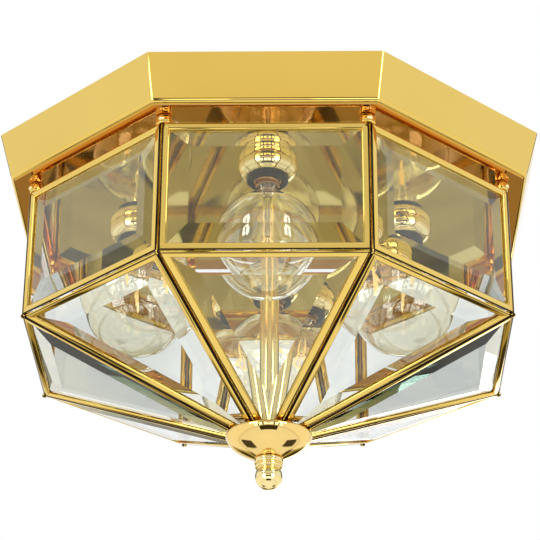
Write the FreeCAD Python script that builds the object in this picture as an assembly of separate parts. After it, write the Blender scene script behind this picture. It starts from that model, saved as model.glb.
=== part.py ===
import FreeCAD, Part
import math
import os

# An eight-sided flush ceiling light. A polished brass pan lies against the ceiling. Under it
# hangs a lantern: eight upright and eight sloping bevelled glass panels, each edged by brass
# came strips. Four globe bulbs hang from sockets in the pan's plate, and a central stem holds
# the lantern up by a turned cup and a finial.
# Millimetres. The origin is the centre of the pan's mouth on the ceiling, +Z is up, and the
# front side faces -Y. A "drop" is a depth below the ceiling.

# The sides of the octagon, from the front round by the right
position_names = [
    "front", "front_right", "right", "back_right",
    "back", "back_left", "left", "front_left",
]
bulb_sides = [0, 2, 4, 6]

# Pan against the ceiling
pan_corner_radius = 146.0
pan_taper = 6.4
pan_height = 24.0
pan_wall = 1.0
pan_hem = 6.0
pan_hem_round = 0.6
pan_lip = 7.0
pan_lip_rise = 3.0
pan_lip_round = 2.2

# Polished plate that carries the sockets. It closes the pan from below, against its lip.
plate_margin = 2.2
plate_thick = 1.0

# Crossbar that screws to the outlet box
crossbar_end_margin = 6.55
crossbar_width = 16.0
crossbar_thick = 2.5
box_screw_spacing = 88.9
box_screw_hole_radius = 2.4
ground_screw_place = 24.0
ground_shank_radius = 2.0
ground_head_radius = 3.8
ground_head_height = 2.2

# Threaded nipple and its locknuts
nipple_radius = 4.0
nipple_bore_radius = 2.6
nipple_engagement = 16.0
thread_clearance = 0.1
locknut_radius = 7.4
locknut_height = 3.0
locknut_sides = 6

# Stem and the stud that takes the finial
stem_wall = 0.75
stem_foot_height = 7.7
stud_radius = 3.0
stud_plug_length = 15.0
stud_past_ball_centre = 1.35
stud_clearance = 0.4

# Lantern cage, measured on the outer face of its came strips
post_clearance = 0.2
post_height = 4.6
upper_height = 68.3
lower_height = 44.75
mouth_margin = 10.4
waist_spread = 0.6
apex_apothem = 14.0
corner_gap = 1.0
mitre_gap = 0.7

# Corner posts that keep a slot open between the panels and the plate
post_width = 7.2

# Came strips
came_face = 4.0
came_thick = 3.8
came_web = 2.0
came_round = 1.5
lip_round_share = 0.8
glass_clearance = 0.05

# Bevelled glass
glass_thick = 3.4
glass_edge = 1.6
bevel_width = 9.6

# Solder at the corners
waist_bead_radius = 2.3
waist_bead_sink = 1.2
post_bead_radius = 1.7
post_bead_sink = 0.9
post_bead_below = 2.0
bead_touch = 0.01

# Dished washer under the tips of the sloping panels
washer_overlap = 4.0
washer_flat_apothem = 7.0
washer_thick = 1.5

# Cup. The shares run from the widest place through the belly and the shoulder to the flare.
cup_rise = 2.05
cup_wide_radius = 21.7
cup_neck_radius = 7.0
cup_height = 12.4
cup_radius_shares = [1.0, 0.931, 0.783, 0.544]
cup_height_shares = [0.08, 0.33, 0.589, 0.823]
cup_wall = 1.0
cup_floor = 1.6

# Finial
finial_gap = 0.2
finial_ring_radius = 7.2
finial_ring_height = 2.7
finial_bead_radius = 7.0
finial_bead_height = 1.8
finial_groove_radius = 6.2
finial_groove_height = 0.5
finial_round = 0.7
finial_ball_radius = 6.85
finial_ball_below = 9.25
finial_bore_spare = 1.5

# Sockets
bulb_side_clearance = 26.22
socket_radius = 10.3
socket_below_plate = 10.5
socket_above_plate = 12.0
socket_roof = 5.0
socket_clearance = 0.1
husk_radius = 14.5
husk_below_plate = 7.5
husk_wall = 0.7
husk_round = 4.0
shell_wall = 0.4
shell_clearance = 0.15
shell_recess = 0.6
shell_height = 13.0
contact_radius = 3.0
contact_gap = 0.1

# Bulbs
bulb_radius = 26.2
bulb_centre_below_cap = 31.1
bulb_neck_flare = 8.0
bulb_glass_wall = 0.6
cap_radius = 5.95
cap_bore_clearance = 0.05
cap_below_socket = 2.1
cap_seat = 1.0
cap_shoulder = 3.0
cap_tip_radius = 2.4
cap_tip_height = 0.8
cap_wall = 0.3
thread_depth = 0.35
thread_pitch = 2.5
thread_count = 5
neck_insert = 3.6
mount_clearance = 0.1
mount_waist_radius = 2.0
mount_press_radius = 2.6
mount_waist_below_cap = 8.4
mount_end_below_cap = 20.4
filament_radius = 0.35
filament_spread = 9.0
filament_below_cap = 30.4
filament_start = 1.2
filament_rise = 3.0
filament_round = 1.6

# Leads and their twist-on connectors
lead_radius = 1.0
lead_exit = 4.5
lead_level_above_plate = 14.2
lead_level_step = 3.0
lead_spacing = 2.2
lead_insert = 8.0
lead_bend = 2.2
lead_turn = 7.0
near_approach = 38.0
far_approach = 20.0
connector_reach = 60.0
connector_radius = 6.0
connector_tip_radius = 4.2
connector_length = 20.0
connector_bore_radius = 4.6
connector_bore_depth = 12.0

# How far a cutting shape runs past what it cuts
overrun = 2.0

# Places and sizes that follow from those above
side_count = len(position_names)
half_side_angle = math.pi / side_count
pan_mouth_radius = pan_corner_radius - pan_taper
crossbar_length = box_screw_spacing + 2 * crossbar_end_margin
stem_radius = nipple_radius + thread_clearance + stem_wall
plate_drop = pan_height + plate_thick
post_drop = plate_drop + post_clearance
cage_drop = post_drop + post_height
waist_drop = cage_drop + upper_height
apex_drop = waist_drop + lower_height
cage_top_radius = pan_mouth_radius - mouth_margin
waist_radius = cage_top_radius + waist_spread
washer_apothem = apex_apothem + washer_overlap
cup_rim_drop = apex_drop - cup_rise
cup_neck_drop = cup_rim_drop + cup_height
stem_drop = cup_neck_drop - stem_foot_height
finial_drop = cup_neck_drop + finial_gap
finial_ball_drop = finial_drop + finial_ball_below
stud_drop = finial_ball_drop + stud_past_ball_centre
socket_drop = plate_drop + socket_below_plate
socket_top_drop = plate_drop - socket_above_plate
husk_drop = plate_drop + husk_below_plate
shell_drop = socket_drop - shell_recess
cap_drop = socket_drop + cap_below_socket
cap_top_drop = socket_top_drop + socket_roof + cap_seat
cap_shoulder_drop = cap_top_drop + cap_shoulder
cap_root_radius = cap_radius - thread_depth
bulb_neck_radius = cap_root_radius - cap_wall
bulb_centre_drop = cap_drop + bulb_centre_below_cap
mount_flare_radius = bulb_neck_radius - bulb_glass_wall - mount_clearance
mount_waist_drop = cap_drop + mount_waist_below_cap
mount_end_drop = cap_drop + mount_end_below_cap
filament_drop = cap_drop + filament_below_cap
white_level = plate_drop - plate_thick - lead_level_above_plate
black_level = white_level - lead_level_step
up = FreeCAD.Vector(0, 0, 1)
centre = FreeCAD.Vector(0, 0, 0)


def save(name, shapes):
    solids = shapes if isinstance(shapes, list) else [shapes]
    shape = Part.makeCompound(solids) if len(solids) > 1 else solids[0]
    shape.exportStep("parts/" + name + ".step")


def apothem(corner_radius):
    return corner_radius * math.cos(half_side_angle)


def radial(out, height):
    # A place in the upright plane through the middle of the front side.
    return FreeCAD.Vector(0, -out, height)


def turned_to_side(shape, side):
    copy = shape.copy()
    copy.rotate(centre, up, math.degrees(2 * half_side_angle * side))
    return copy


def around(shape):
    return [turned_to_side(shape, side) for side in range(side_count)]


def fused(solids):
    return solids[0].multiFuse(solids[1:]).removeSplitter()


def moved(shape, place):
    copy = shape.copy()
    copy.translate(place)
    return copy


def rounded_corner(before, corner, after, radius):
    # The arc that rounds a corner, from its start to its end.
    back = (before - corner).normalize()
    ahead = (after - corner).normalize()
    half_angle = back.getAngle(ahead) / 2
    middle_line = (back + ahead).normalize()
    arc_centre = corner + middle_line * (radius / math.sin(half_angle))
    start = corner + back * (radius / math.tan(half_angle))
    end = corner + ahead * (radius / math.tan(half_angle))
    return start, arc_centre - middle_line * radius, end


def smooth_wire(points, radii, closed=True):
    # Straight runs joined by tangent arcs, with one radius for each point and 0 for a sharp one.
    count = len(points)
    corners = []
    for index, corner in enumerate(points):
        if radii[index] > 0:
            after = points[(index + 1) % count]
            corners.append(rounded_corner(points[index - 1], corner, after, radii[index]))
        else:
            corners.append((corner, None, corner))
    edges = []
    for index, (start, middle, end) in enumerate(corners):
        if middle is not None:
            edges.append(Part.Arc(start, middle, end).toShape())
        if closed or index + 1 < count:
            edges.append(Part.makeLine(end, corners[(index + 1) % count][0]))
    return Part.Wire(edges)


def outline(start, steps):
    # A closed outline. Each step is a straight run to a point, or an arc through one to another.
    edges = []
    here = start
    for step in steps + [(start,)]:
        if len(step) > 1:
            edges.append(Part.Arc(here, step[0], step[1]).toShape())
        else:
            edges.append(Part.makeLine(here, step[0]))
        here = step[-1]
    return Part.Wire(edges)


def spun(wire):
    # A solid of revolution about Z.
    return Part.Face(wire).revolve(centre, up, math.degrees(2 * math.pi))


def tube(radius, bore_radius, top_drop, bottom_drop):
    height = bottom_drop - top_drop
    outer = Part.makeCylinder(radius, height, radial(0, -bottom_drop))
    bore = Part.makeCylinder(bore_radius, height + 2 * overrun, radial(0, -bottom_drop - overrun))
    return outer.cut(bore)


def polygon(corner_radius, height, count):
    points = []
    for index in range(count):
        angle = (2 * index + 1) * math.pi / count - math.pi / 2
        points.append(
            FreeCAD.Vector(corner_radius * math.cos(angle), corner_radius * math.sin(angle), height)
        )
    return Part.makePolygon(points + points[:1])


def octagon(apothem_length, height):
    return polygon(apothem_length / math.cos(half_side_angle), height, side_count)


def frustum(top_apothem, top_height, bottom_apothem, bottom_height):
    wires = [octagon(top_apothem, top_height), octagon(bottom_apothem, bottom_height)]
    return Part.makeLoft(wires, True, True)


def sector(half_gap, reach, bottom, top):
    # The upright wedge that holds one side of the octagon, short of its two mitre planes.
    tip = half_gap / math.sin(half_side_angle)
    far = tip + reach
    half_width = reach * math.tan(half_side_angle)
    points = [
        FreeCAD.Vector(0, -tip, bottom),
        FreeCAD.Vector(-half_width, -far, bottom),
        FreeCAD.Vector(half_width, -far, bottom),
    ]
    face = Part.Face(Part.makePolygon(points + points[:1]))
    return face.extrude(up * (top - bottom))


def side_bar(wire, gap=0):
    # A bar along the front side with a given outline, mitred where it meets the next side.
    box = wire.BoundBox
    reach = -box.YMin + overrun
    half_width = reach * math.tan(half_side_angle)
    bar = moved(Part.Face(wire), FreeCAD.Vector(-half_width, 0, 0))
    bar = bar.extrude(FreeCAD.Vector(2 * half_width, 0, 0))
    return bar.common(sector(gap / 2, reach, box.ZMin - overrun, box.ZMax + overrun))


def fitted_round(before, corner, after, radius):
    # A corner's radius, no larger than half of the shorter run beside it leaves room for.
    half_angle = (before - corner).getAngle(after - corner) / 2
    room = min((before - corner).Length, (after - corner).Length) / 2
    return min(radius, room * math.tan(half_angle))


def sheet_outline(points, radii, thickness):
    # The outline of a sheet bent along a line in the radial plane, its thickness inside the line.
    across = FreeCAD.Vector(1, 0, 0)
    normals = []
    for start, end in zip(points, points[1:]):
        normals.append(across.cross(end - start).normalize())
    fitted = list(radii)
    inner = [points[0] + normals[0] * thickness]
    for index in range(1, len(points) - 1):
        before = normals[index - 1]
        after = normals[index]
        inner.append(points[index] + (before + after) * (thickness / (1 + before.dot(after))))
        neighbours = (points[index - 1], points[index], points[index + 1])
        fitted[index] = fitted_round(*neighbours, radii[index])
    inner.append(points[-1] + normals[-1] * thickness)
    inner_radii = [max(radius - thickness, 0) for radius in fitted]
    return smooth_wire(points + inner[::-1], fitted + inner_radii[::-1])


def canopy_band():
    top = apothem(pan_corner_radius)
    mouth = apothem(pan_mouth_radius)
    line = [
        radial(top - pan_hem, 0),
        radial(top, 0),
        radial(mouth, -pan_height),
        radial(mouth - pan_lip, -pan_height),
        radial(mouth - pan_lip, -pan_height + pan_lip_rise),
    ]
    wire = sheet_outline(line, [0, pan_hem_round, pan_lip_round, pan_wall, 0], pan_wall)
    return fused(around(side_bar(wire)))


def socket_plate():
    edge = apothem(pan_mouth_radius) - plate_margin
    plate = frustum(edge, -pan_height, edge, -plate_drop)
    depth = plate_thick + 2 * overrun
    bottom = radial(0, -plate_drop - overrun)
    hole = Part.makeCylinder(socket_radius + socket_clearance, depth, bottom)
    nipple_hole = Part.makeCylinder(nipple_radius + thread_clearance, depth, bottom)
    holes = [at_socket(hole, side) for side in bulb_sides]
    return plate.cut(holes + [nipple_hole])


def crossbar():
    straight = crossbar_length - crossbar_width
    corner = FreeCAD.Vector(-straight / 2, -crossbar_width / 2, -crossbar_thick)
    bar = Part.makeBox(straight, crossbar_width, crossbar_thick, corner)
    ends = []
    holes = []
    depth = crossbar_thick + 2 * overrun
    for way in (-1, 1):
        end = FreeCAD.Vector(way * straight / 2, 0, -crossbar_thick)
        ends.append(Part.makeCylinder(crossbar_width / 2, crossbar_thick, end))
        screw = FreeCAD.Vector(way * box_screw_spacing / 2, 0, -crossbar_thick - overrun)
        holes.append(Part.makeCylinder(box_screw_hole_radius, depth, screw))
    bottom = -crossbar_thick - overrun
    holes.append(Part.makeCylinder(nipple_radius + thread_clearance, depth, radial(0, bottom)))
    ground = FreeCAD.Vector(ground_screw_place, 0, bottom)
    holes.append(Part.makeCylinder(ground_shank_radius, depth, ground))
    return bar.multiFuse(ends).removeSplitter().cut(holes)


def ground_screw():
    head = Part.makeCylinder(
        ground_head_radius, ground_head_height,
        FreeCAD.Vector(ground_screw_place, 0, -crossbar_thick - ground_head_height),
    )
    shank = Part.makeCylinder(
        ground_shank_radius, crossbar_thick, FreeCAD.Vector(ground_screw_place, 0, -crossbar_thick)
    )
    return head.fuse(shank).removeSplitter()


def locknuts():
    nuts = []
    for top_drop in (crossbar_thick, plate_drop - plate_thick - locknut_height):
        hexagon = polygon(locknut_radius, -top_drop - locknut_height, locknut_sides)
        nut = Part.Face(hexagon).extrude(up * locknut_height)
        bottom = radial(0, -top_drop - locknut_height - overrun)
        bore = Part.makeCylinder(nipple_radius, locknut_height + 2 * overrun, bottom)
        nuts.append(nut.cut(bore))
    return nuts


def finial_stud():
    plug_radius = stem_radius - stem_wall
    plug = Part.makeCylinder(plug_radius, stud_plug_length, radial(0, -stem_drop))
    stud = Part.makeCylinder(stud_radius, stud_drop - stem_drop, radial(0, -stud_drop))
    return plug.fuse(stud).removeSplitter()


def at_socket(shape, side):
    return turned_to_side(moved(shape, radial(socket_circle_radius, 0)), side)


def turned_place(radius, drop):
    # A place on the outline of a turned piece.
    return FreeCAD.Vector(radius, 0, -drop)


def socket_body():
    bore_radius = cap_radius + shell_clearance + shell_wall
    body = Part.makeCylinder(socket_radius, socket_drop - socket_top_drop, radial(0, -socket_drop))
    bore_length = socket_drop - socket_top_drop - socket_roof + overrun
    bore = Part.makeCylinder(bore_radius, bore_length, radial(0, -socket_drop - overrun))
    return body.cut(bore)


def socket_husk():
    # A brass cup over the socket, its lower edge drawn in against the socket's side.
    collar = socket_radius + socket_clearance
    points = [
        turned_place(husk_radius - husk_wall, plate_drop),
        turned_place(husk_radius, plate_drop),
        turned_place(husk_radius, husk_drop),
        turned_place(collar, husk_drop),
        turned_place(collar, husk_drop - husk_wall),
        turned_place(husk_radius - husk_wall, husk_drop - husk_wall),
    ]
    draw_in = min(husk_round, husk_radius - collar)
    return spun(smooth_wire(points, [0, 0, draw_in - husk_wall / 2, 0, 0, draw_in - husk_wall * 3 / 2]))


def socket_shell():
    bore_radius = cap_radius + shell_clearance
    return tube(bore_radius + shell_wall, bore_radius, shell_drop - shell_height, shell_drop)


def socket_contact():
    roof_drop = socket_top_drop + socket_roof
    height = cap_top_drop - contact_gap - roof_drop
    return Part.makeCylinder(contact_radius, height, radial(0, -cap_top_drop + contact_gap))


def bulb_glass_steps(radius, neck_radius, flare, neck_drop):
    # One wall of a globe: down the neck, out along its flare, and round to the bottom.
    flare_out = bulb_neck_radius + bulb_neck_flare
    reach = bulb_radius + bulb_neck_flare
    flare_drop = bulb_centre_drop - math.sqrt(reach ** 2 - flare_out ** 2)
    tilt = math.asin(flare_out / reach)
    half_bend = (math.pi / 2 - tilt) / 2
    half_globe = (math.pi + tilt) / 2

    def on_flare(angle):
        return turned_place(flare_out - flare * math.cos(angle), flare_drop + flare * math.sin(angle))

    def on_globe(angle):
        return turned_place(radius * math.sin(angle), bulb_centre_drop - radius * math.cos(angle))

    steps = [
        (turned_place(neck_radius, flare_drop),),
        (on_flare(half_bend), on_flare(2 * half_bend)),
        (on_globe(half_globe), turned_place(0, bulb_centre_drop + radius)),
    ]
    return turned_place(neck_radius, neck_drop), steps


def bulb_solid(wall):
    neck_top = cap_drop - neck_insert
    start, steps = bulb_glass_steps(
        bulb_radius - wall, bulb_neck_radius - wall, bulb_neck_flare + wall, neck_top
    )
    return spun(outline(start, steps + [(turned_place(0, neck_top),)]))


def bulb_glass():
    return bulb_solid(0).cut(bulb_solid(bulb_glass_wall))


def bulb_cap():
    # Brass screw cap with its thread as rings, and the contact at its tip.
    places = [turned_place(0, cap_top_drop), turned_place(cap_tip_radius, cap_top_drop)]
    radii = [0, 0]
    places.append(turned_place(cap_tip_radius, cap_top_drop + cap_tip_height))
    radii.append(0)
    places.append(turned_place(cap_root_radius, cap_shoulder_drop))
    radii.append(0)
    for ring in range(thread_count):
        crest_drop = cap_shoulder_drop + (ring + 1 / 2) * thread_pitch
        places.append(turned_place(cap_radius, crest_drop))
        places.append(turned_place(cap_root_radius, crest_drop + thread_pitch / 2))
        radii += [thread_pitch / 4, 0]
    bore_radius = bulb_neck_radius + cap_bore_clearance
    bore_drop = cap_shoulder_drop + cap_wall
    places.append(turned_place(cap_root_radius, cap_drop))
    places.append(turned_place(bore_radius, cap_drop))
    places.append(turned_place(bore_radius, bore_drop))
    places.append(turned_place(0, bore_drop))
    radii += [0, 0, 0, 0]
    return spun(smooth_wire(places, radii))


def bulb_mount():
    # Glass stem in the neck, and the wire that carries the filament below it.
    neck_top = cap_drop - neck_insert
    stem = spun(smooth_wire(
        [
            turned_place(0, neck_top),
            turned_place(mount_flare_radius, neck_top),
            turned_place(mount_waist_radius, mount_waist_drop),
            turned_place(mount_press_radius, mount_end_drop),
            turned_place(0, mount_end_drop),
        ],
        [0, 0, 0, 0, 0],
    ))
    stations = [
        (filament_start, mount_end_drop),
        (filament_start, mount_end_drop + filament_rise),
        (filament_spread, filament_drop),
    ]
    right = [turned_place(out, drop) for out, drop in stations]
    left = [turned_place(-out, drop) for out, drop in stations[::-1]]
    radii = [0, filament_round, filament_round, filament_round, filament_round, 0]
    path = smooth_wire(right + left, radii, False)
    ring = Part.Wire(Part.makeCircle(filament_radius, right[0], up))
    return [stem, path.makePipeShell([ring], True, False)]


def lead(side, way, level, slot):
    # One lead, from the top of a socket to its place in the mouth of a connector. It runs in
    # the half of the pan that the way gives: 1 is the right and back, -1 the left and front.
    angle = 2 * half_side_angle * side
    exit_place = FreeCAD.Vector(way * lead_exit, -socket_circle_radius, -socket_top_drop)
    exit_place = turned_vector(exit_place, angle)
    axis = turned_vector(FreeCAD.Vector(way, 0, 0), half_side_angle * 2)
    across = turned_vector(axis, math.pi / 2)
    risen = FreeCAD.Vector(exit_place.x, exit_place.y, -level)
    near = exit_place.dot(axis) > 0
    offset = across * (slot * lead_spacing) + up * -level
    approach = axis * (near_approach if near else far_approach) + offset
    end = axis * (connector_reach + lead_insert) + offset
    path = smooth_wire([exit_place, risen, approach, end], [0, lead_bend, lead_turn, 0], False)
    ring = Part.Wire(Part.makeCircle(lead_radius, exit_place, up))
    return path.makePipeShell([ring], True, False)


def turned_vector(vector, angle):
    return FreeCAD.Rotation(up, math.degrees(angle)).multVec(vector)


def leads(way, level):
    # The four leads of one colour, side by side in the order in which they reach the mouth.
    order = [2, 0, 6, 4] if way > 0 else [6, 4, 2, 0]
    solids = []
    for index, side in enumerate(order):
        slot = index - (len(order) - 1) / 2
        solids.append(lead(side, way, level, slot))
    return solids


def connector(way, level):
    # Twist-on wire connector: a blind cone that lies along the diagonal of the pan.
    cone = Part.makeCone(connector_radius, connector_tip_radius, connector_length)
    cone = cone.cut(Part.makeCylinder(connector_bore_radius, connector_bore_depth))
    axis = turned_vector(FreeCAD.Vector(way, 0, 0), half_side_angle * 2)
    cone.Placement = FreeCAD.Placement(
        axis * connector_reach + up * -level, FreeCAD.Rotation(up, axis)
    )
    return cone


def inset(corners, insets):
    # The corners after each edge of an outline has moved inwards. Edge i starts at corner i.
    lines = []
    for index, corner in enumerate(corners):
        run = corners[(index + 1) % len(corners)] - corner
        inward = FreeCAD.Vector(-run.y, run.x, 0).normalize()
        lines.append((corner + inward * insets[index], run))
    moved_corners = []
    for index, (start, run) in enumerate(lines):
        last_start, last_run = lines[index - 1]
        apart = start - last_start
        share = (apart.x * run.y - apart.y * run.x) / (last_run.x * run.y - last_run.y * run.x)
        moved_corners.append(last_start + last_run * share)
    return moved_corners


def panel_corners(foot, head):
    # The outline of one side between two radial places, seen square on: X across, Y up it.
    height = math.hypot(head[0] - foot[0], head[1] - foot[1])
    half_foot = foot[0] * math.tan(half_side_angle)
    half_head = head[0] * math.tan(half_side_angle)
    return [
        FreeCAD.Vector(-half_foot, 0, 0),
        FreeCAD.Vector(half_foot, 0, 0),
        FreeCAD.Vector(half_head, height, 0),
        FreeCAD.Vector(-half_head, height, 0),
    ]


def stood_up(shape, foot, head):
    # Sets a panel's shape in place on the front side: X across, Y from foot to head, Z outwards.
    length = math.hypot(head[0] - foot[0], head[1] - foot[1])
    out = (head[0] - foot[0]) / length
    rise = (head[1] - foot[1]) / length
    matrix = FreeCAD.Matrix(
        1, 0, 0, 0,
        0, -out, -rise, -foot[0],
        0, rise, -out, foot[1],
        0, 0, 0, 1,
    )
    copy = shape.copy()
    copy.Placement = FreeCAD.Placement(matrix)
    return copy


def edge_bar(start, end, profile, radii):
    # A bar along one edge of a panel. The profile gives places inwards and outwards of the edge.
    run = (end - start).normalize()
    inward = FreeCAD.Vector(-run.y, run.x, 0)
    base = start - run * overrun
    points = [base + inward * across + up * out for across, out in profile]
    face = Part.Face(smooth_wire(points, radii))
    return face.extrude(run * ((end - start).Length + 2 * overrun))


def flat_prism(corners, bottom, top):
    lifted = [corner + up * bottom for corner in corners]
    return Part.Face(Part.makePolygon(lifted + lifted[:1])).extrude(up * (top - bottom))


def came_strip(corners, inner, index):
    # The channel strip along one edge of a panel, mitred into its neighbours.
    lip = (came_thick - glass_edge) / 2 - glass_clearance
    profile = [
        (0, 0), (came_face, 0),
        (came_face, -lip), (came_web, -lip),
        (came_web, lip - came_thick), (came_face, lip - came_thick),
        (came_face, -came_thick), (0, -came_thick),
    ]
    lip_round = lip * lip_round_share
    radii = [came_round, lip_round, 0, 0, 0, 0, lip_round, came_round]
    after = (index + 1) % len(corners)
    bar = edge_bar(corners[index], corners[after], profile, radii)
    footprint = [corners[index], corners[after], inner[after], inner[index]]
    return bar.common(flat_prism(footprint, -came_thick - overrun, overrun))


def glass_panel(corners, framed):
    # A plate whose outer face is bevelled along each framed edge.
    low = -(came_thick + glass_edge) / 2
    top = low + glass_thick
    margin = came_face - came_web - glass_clearance
    plate = flat_prism(corners, low, top)
    edge_level = low + glass_edge
    profile = [
        (-overrun, edge_level), (margin, edge_level), (margin + bevel_width, top),
        (margin + bevel_width, top + overrun), (-overrun, top + overrun),
    ]
    bevels = []
    for index in framed:
        after = (index + 1) % len(corners)
        bevels.append(edge_bar(corners[index], corners[after], profile, [0] * len(profile)))
    return plate.cut(bevels)


def waist_side(way):
    # All that lies above (1) or below (-1) the mitre plane of the two cames at the waist.
    waist = radial(waist_apothem, -waist_drop)
    wall_run = (radial(top_apothem, -cage_drop) - waist).normalize()
    slope_run = (radial(apex_apothem, -apex_drop) - waist).normalize()
    mitre = (wall_run + slope_run).normalize()
    square = FreeCAD.Vector(1, 0, 0).cross(mitre)
    if square.z * way < 0:
        square = square * -1
    far = waist_radius + cage_top_radius
    base = waist + square * (mitre_gap / 2)
    points = [base - mitre * far, base + mitre * far]
    points += [points[1] + square * far, points[0] + square * far]
    points = [point - FreeCAD.Vector(far, 0, 0) for point in points]
    return Part.Face(Part.makePolygon(points + points[:1])).extrude(FreeCAD.Vector(2 * far, 0, 0))


def panel_set(foot, head, gaps, framed, waist_way):
    # The came strips and the glass of one panel on the front side.
    corners = inset(panel_corners(foot, head), gaps)
    faces = [came_face if index in framed else 0 for index in range(len(corners))]
    seats = [came_web + glass_clearance if index in framed else 0 for index in range(len(corners))]
    inner = inset(corners, faces)
    reach = waist_radius + cage_top_radius
    keep = sector(mitre_gap / 2, reach, -apex_drop - reach, 0)
    keep = keep.common(waist_side(waist_way))
    strips = {}
    for index in framed:
        strip = stood_up(came_strip(corners, inner, index), foot, head)
        strips[index] = strip.common(keep)
    glass = stood_up(glass_panel(inset(corners, seats), framed), foot, head)
    return strips, glass


def corner_post():
    # The post over the corner on the front side's right. It stands on the cames of both sides.
    inner = top_apothem - came_thick
    ring = frustum(top_apothem, -post_drop, top_apothem, -cage_drop)
    ring = ring.cut(frustum(inner, -post_drop + overrun, inner, -cage_drop - overrun))
    reach = cage_top_radius + overrun
    foot = FreeCAD.Vector(-post_width / 2, -reach, -cage_drop)
    column = Part.makeBox(post_width, reach, post_height, foot)
    return ring.common(turned_to_side(column, 1 / 2))


def solder_bead(corner_radius, drop, radius, neighbours):
    # Solder run into the gap at a corner, clear of the strips that it joins.
    bead = Part.makeSphere(radius, turned_vector(radial(corner_radius, -drop), half_side_angle))
    touching = [strip for strip in neighbours if strip.distToShape(bead)[0] < bead_touch]
    for strip in touching:
        bead = bead.cut(strip)
    return bead


def slope_height(out):
    # Height of the sloping panels' outer face at a distance from the axis.
    share = (waist_apothem - out) / (waist_apothem - apex_apothem)
    return -waist_drop - share * (apex_drop - waist_drop)


def shade_washer():
    top = slope_height(washer_apothem)
    flat = slope_height(washer_flat_apothem)
    bottom = flat - washer_thick - overrun
    dish = frustum(washer_apothem, top, washer_flat_apothem, flat)
    rim = frustum(washer_apothem, top, washer_apothem, top - washer_thick)
    below = moved(dish, up * -washer_thick)
    hole = Part.makeCylinder(stud_radius + stud_clearance, apex_drop, radial(0, bottom))
    return rim.fuse(below).cut([dish, hole]).removeSplitter()


def cup_place(index, wall):
    # A place on the cup's outer face, or by a wall inside it.
    radius = cup_wide_radius * cup_radius_shares[index]
    return turned_place(radius - wall, cup_rim_drop + cup_height * cup_height_shares[index] - wall)


def finial_cup():
    # A turned bowl: a round rim, a full belly, and a flare drawn in to the neck.
    hole = stud_radius + stud_clearance
    floor_drop = cup_neck_drop - cup_floor
    wide, belly, shoulder, flare = range(len(cup_radius_shares))
    inner_rim = turned_place(cup_wide_radius - cup_wall, cup_rim_drop)
    inner_wide = turned_place(inner_rim.x, cup_rim_drop + cup_height * cup_height_shares[wide])
    rim_middle = (inner_rim + cup_place(wide, 0)) / 2 + turned_place(cup_wall, -cup_wall) / 6
    wire = outline(inner_rim, [
        (rim_middle, cup_place(wide, 0)),
        (cup_place(belly, 0), cup_place(shoulder, 0)),
        (cup_place(flare, 0), turned_place(cup_neck_radius, cup_neck_drop)),
        (turned_place(hole, cup_neck_drop),),
        (turned_place(hole, floor_drop),),
        (turned_place(cup_neck_radius, floor_drop),),
        (cup_place(flare, cup_wall), cup_place(shoulder, cup_wall)),
        (cup_place(belly, cup_wall), inner_wide),
    ])
    return spun(wire)


def finial():
    # A ring and a bead over a ball, bored from above for the stud.
    ring_end = finial_drop + finial_ring_height
    bead_drop = ring_end + finial_groove_height
    bead_end = bead_drop + finial_bead_height
    bore_radius = stud_radius + thread_clearance
    bore_drop = stud_drop + finial_bore_spare
    points = [
        turned_place(0, finial_drop),
        turned_place(finial_ring_radius, finial_drop),
        turned_place(finial_ring_radius, ring_end),
        turned_place(finial_groove_radius, ring_end),
        turned_place(finial_groove_radius, bead_drop),
        turned_place(finial_bead_radius, bead_drop),
        turned_place(finial_bead_radius, bead_end),
        turned_place(0, bead_end),
    ]
    radii = [0, finial_round, finial_round, 0, 0, finial_round, finial_round, 0]
    ball = Part.makeSphere(finial_ball_radius, radial(0, -finial_ball_drop))
    bore = Part.makeCylinder(bore_radius, bore_drop - finial_drop + overrun, radial(0, -bore_drop))
    return spun(smooth_wire(points, radii)).fuse(ball).cut(bore)


def build_root():
    save("canopy_band", canopy_band())
    save("socket_plate", socket_plate())
    save("crossbar", crossbar())
    save("ground_screw", ground_screw())
    save("nipple", tube(nipple_radius, nipple_bore_radius, 0, plate_drop + nipple_engagement))
    save("locknuts", locknuts())
    save("stem_tube", tube(stem_radius, stem_radius - stem_wall, plate_drop, stem_drop))
    save("finial_stud", finial_stud())
    for name, shape in (("socket_husk", socket_husk()), ("socket_body", socket_body())):
        for side in bulb_sides:
            save(name + "_" + position_names[side], at_socket(shape, side))
    save("socket_shells", [at_socket(socket_shell(), side) for side in bulb_sides])
    save("socket_contacts", [at_socket(socket_contact(), side) for side in bulb_sides])
    save("black_leads", leads(1, black_level))
    save("white_leads", leads(-1, white_level))
    save("wire_connectors", [connector(1, black_level), connector(-1, white_level)])


def build_bulbs():
    mount = bulb_mount()
    for side in bulb_sides:
        name = position_names[side]
        save("bulb_glass_" + name, at_socket(bulb_glass(), side))
        save("bulb_cap_" + name, at_socket(bulb_cap(), side))
        save("bulb_mount_" + name, [at_socket(solid, side) for solid in mount])


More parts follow.
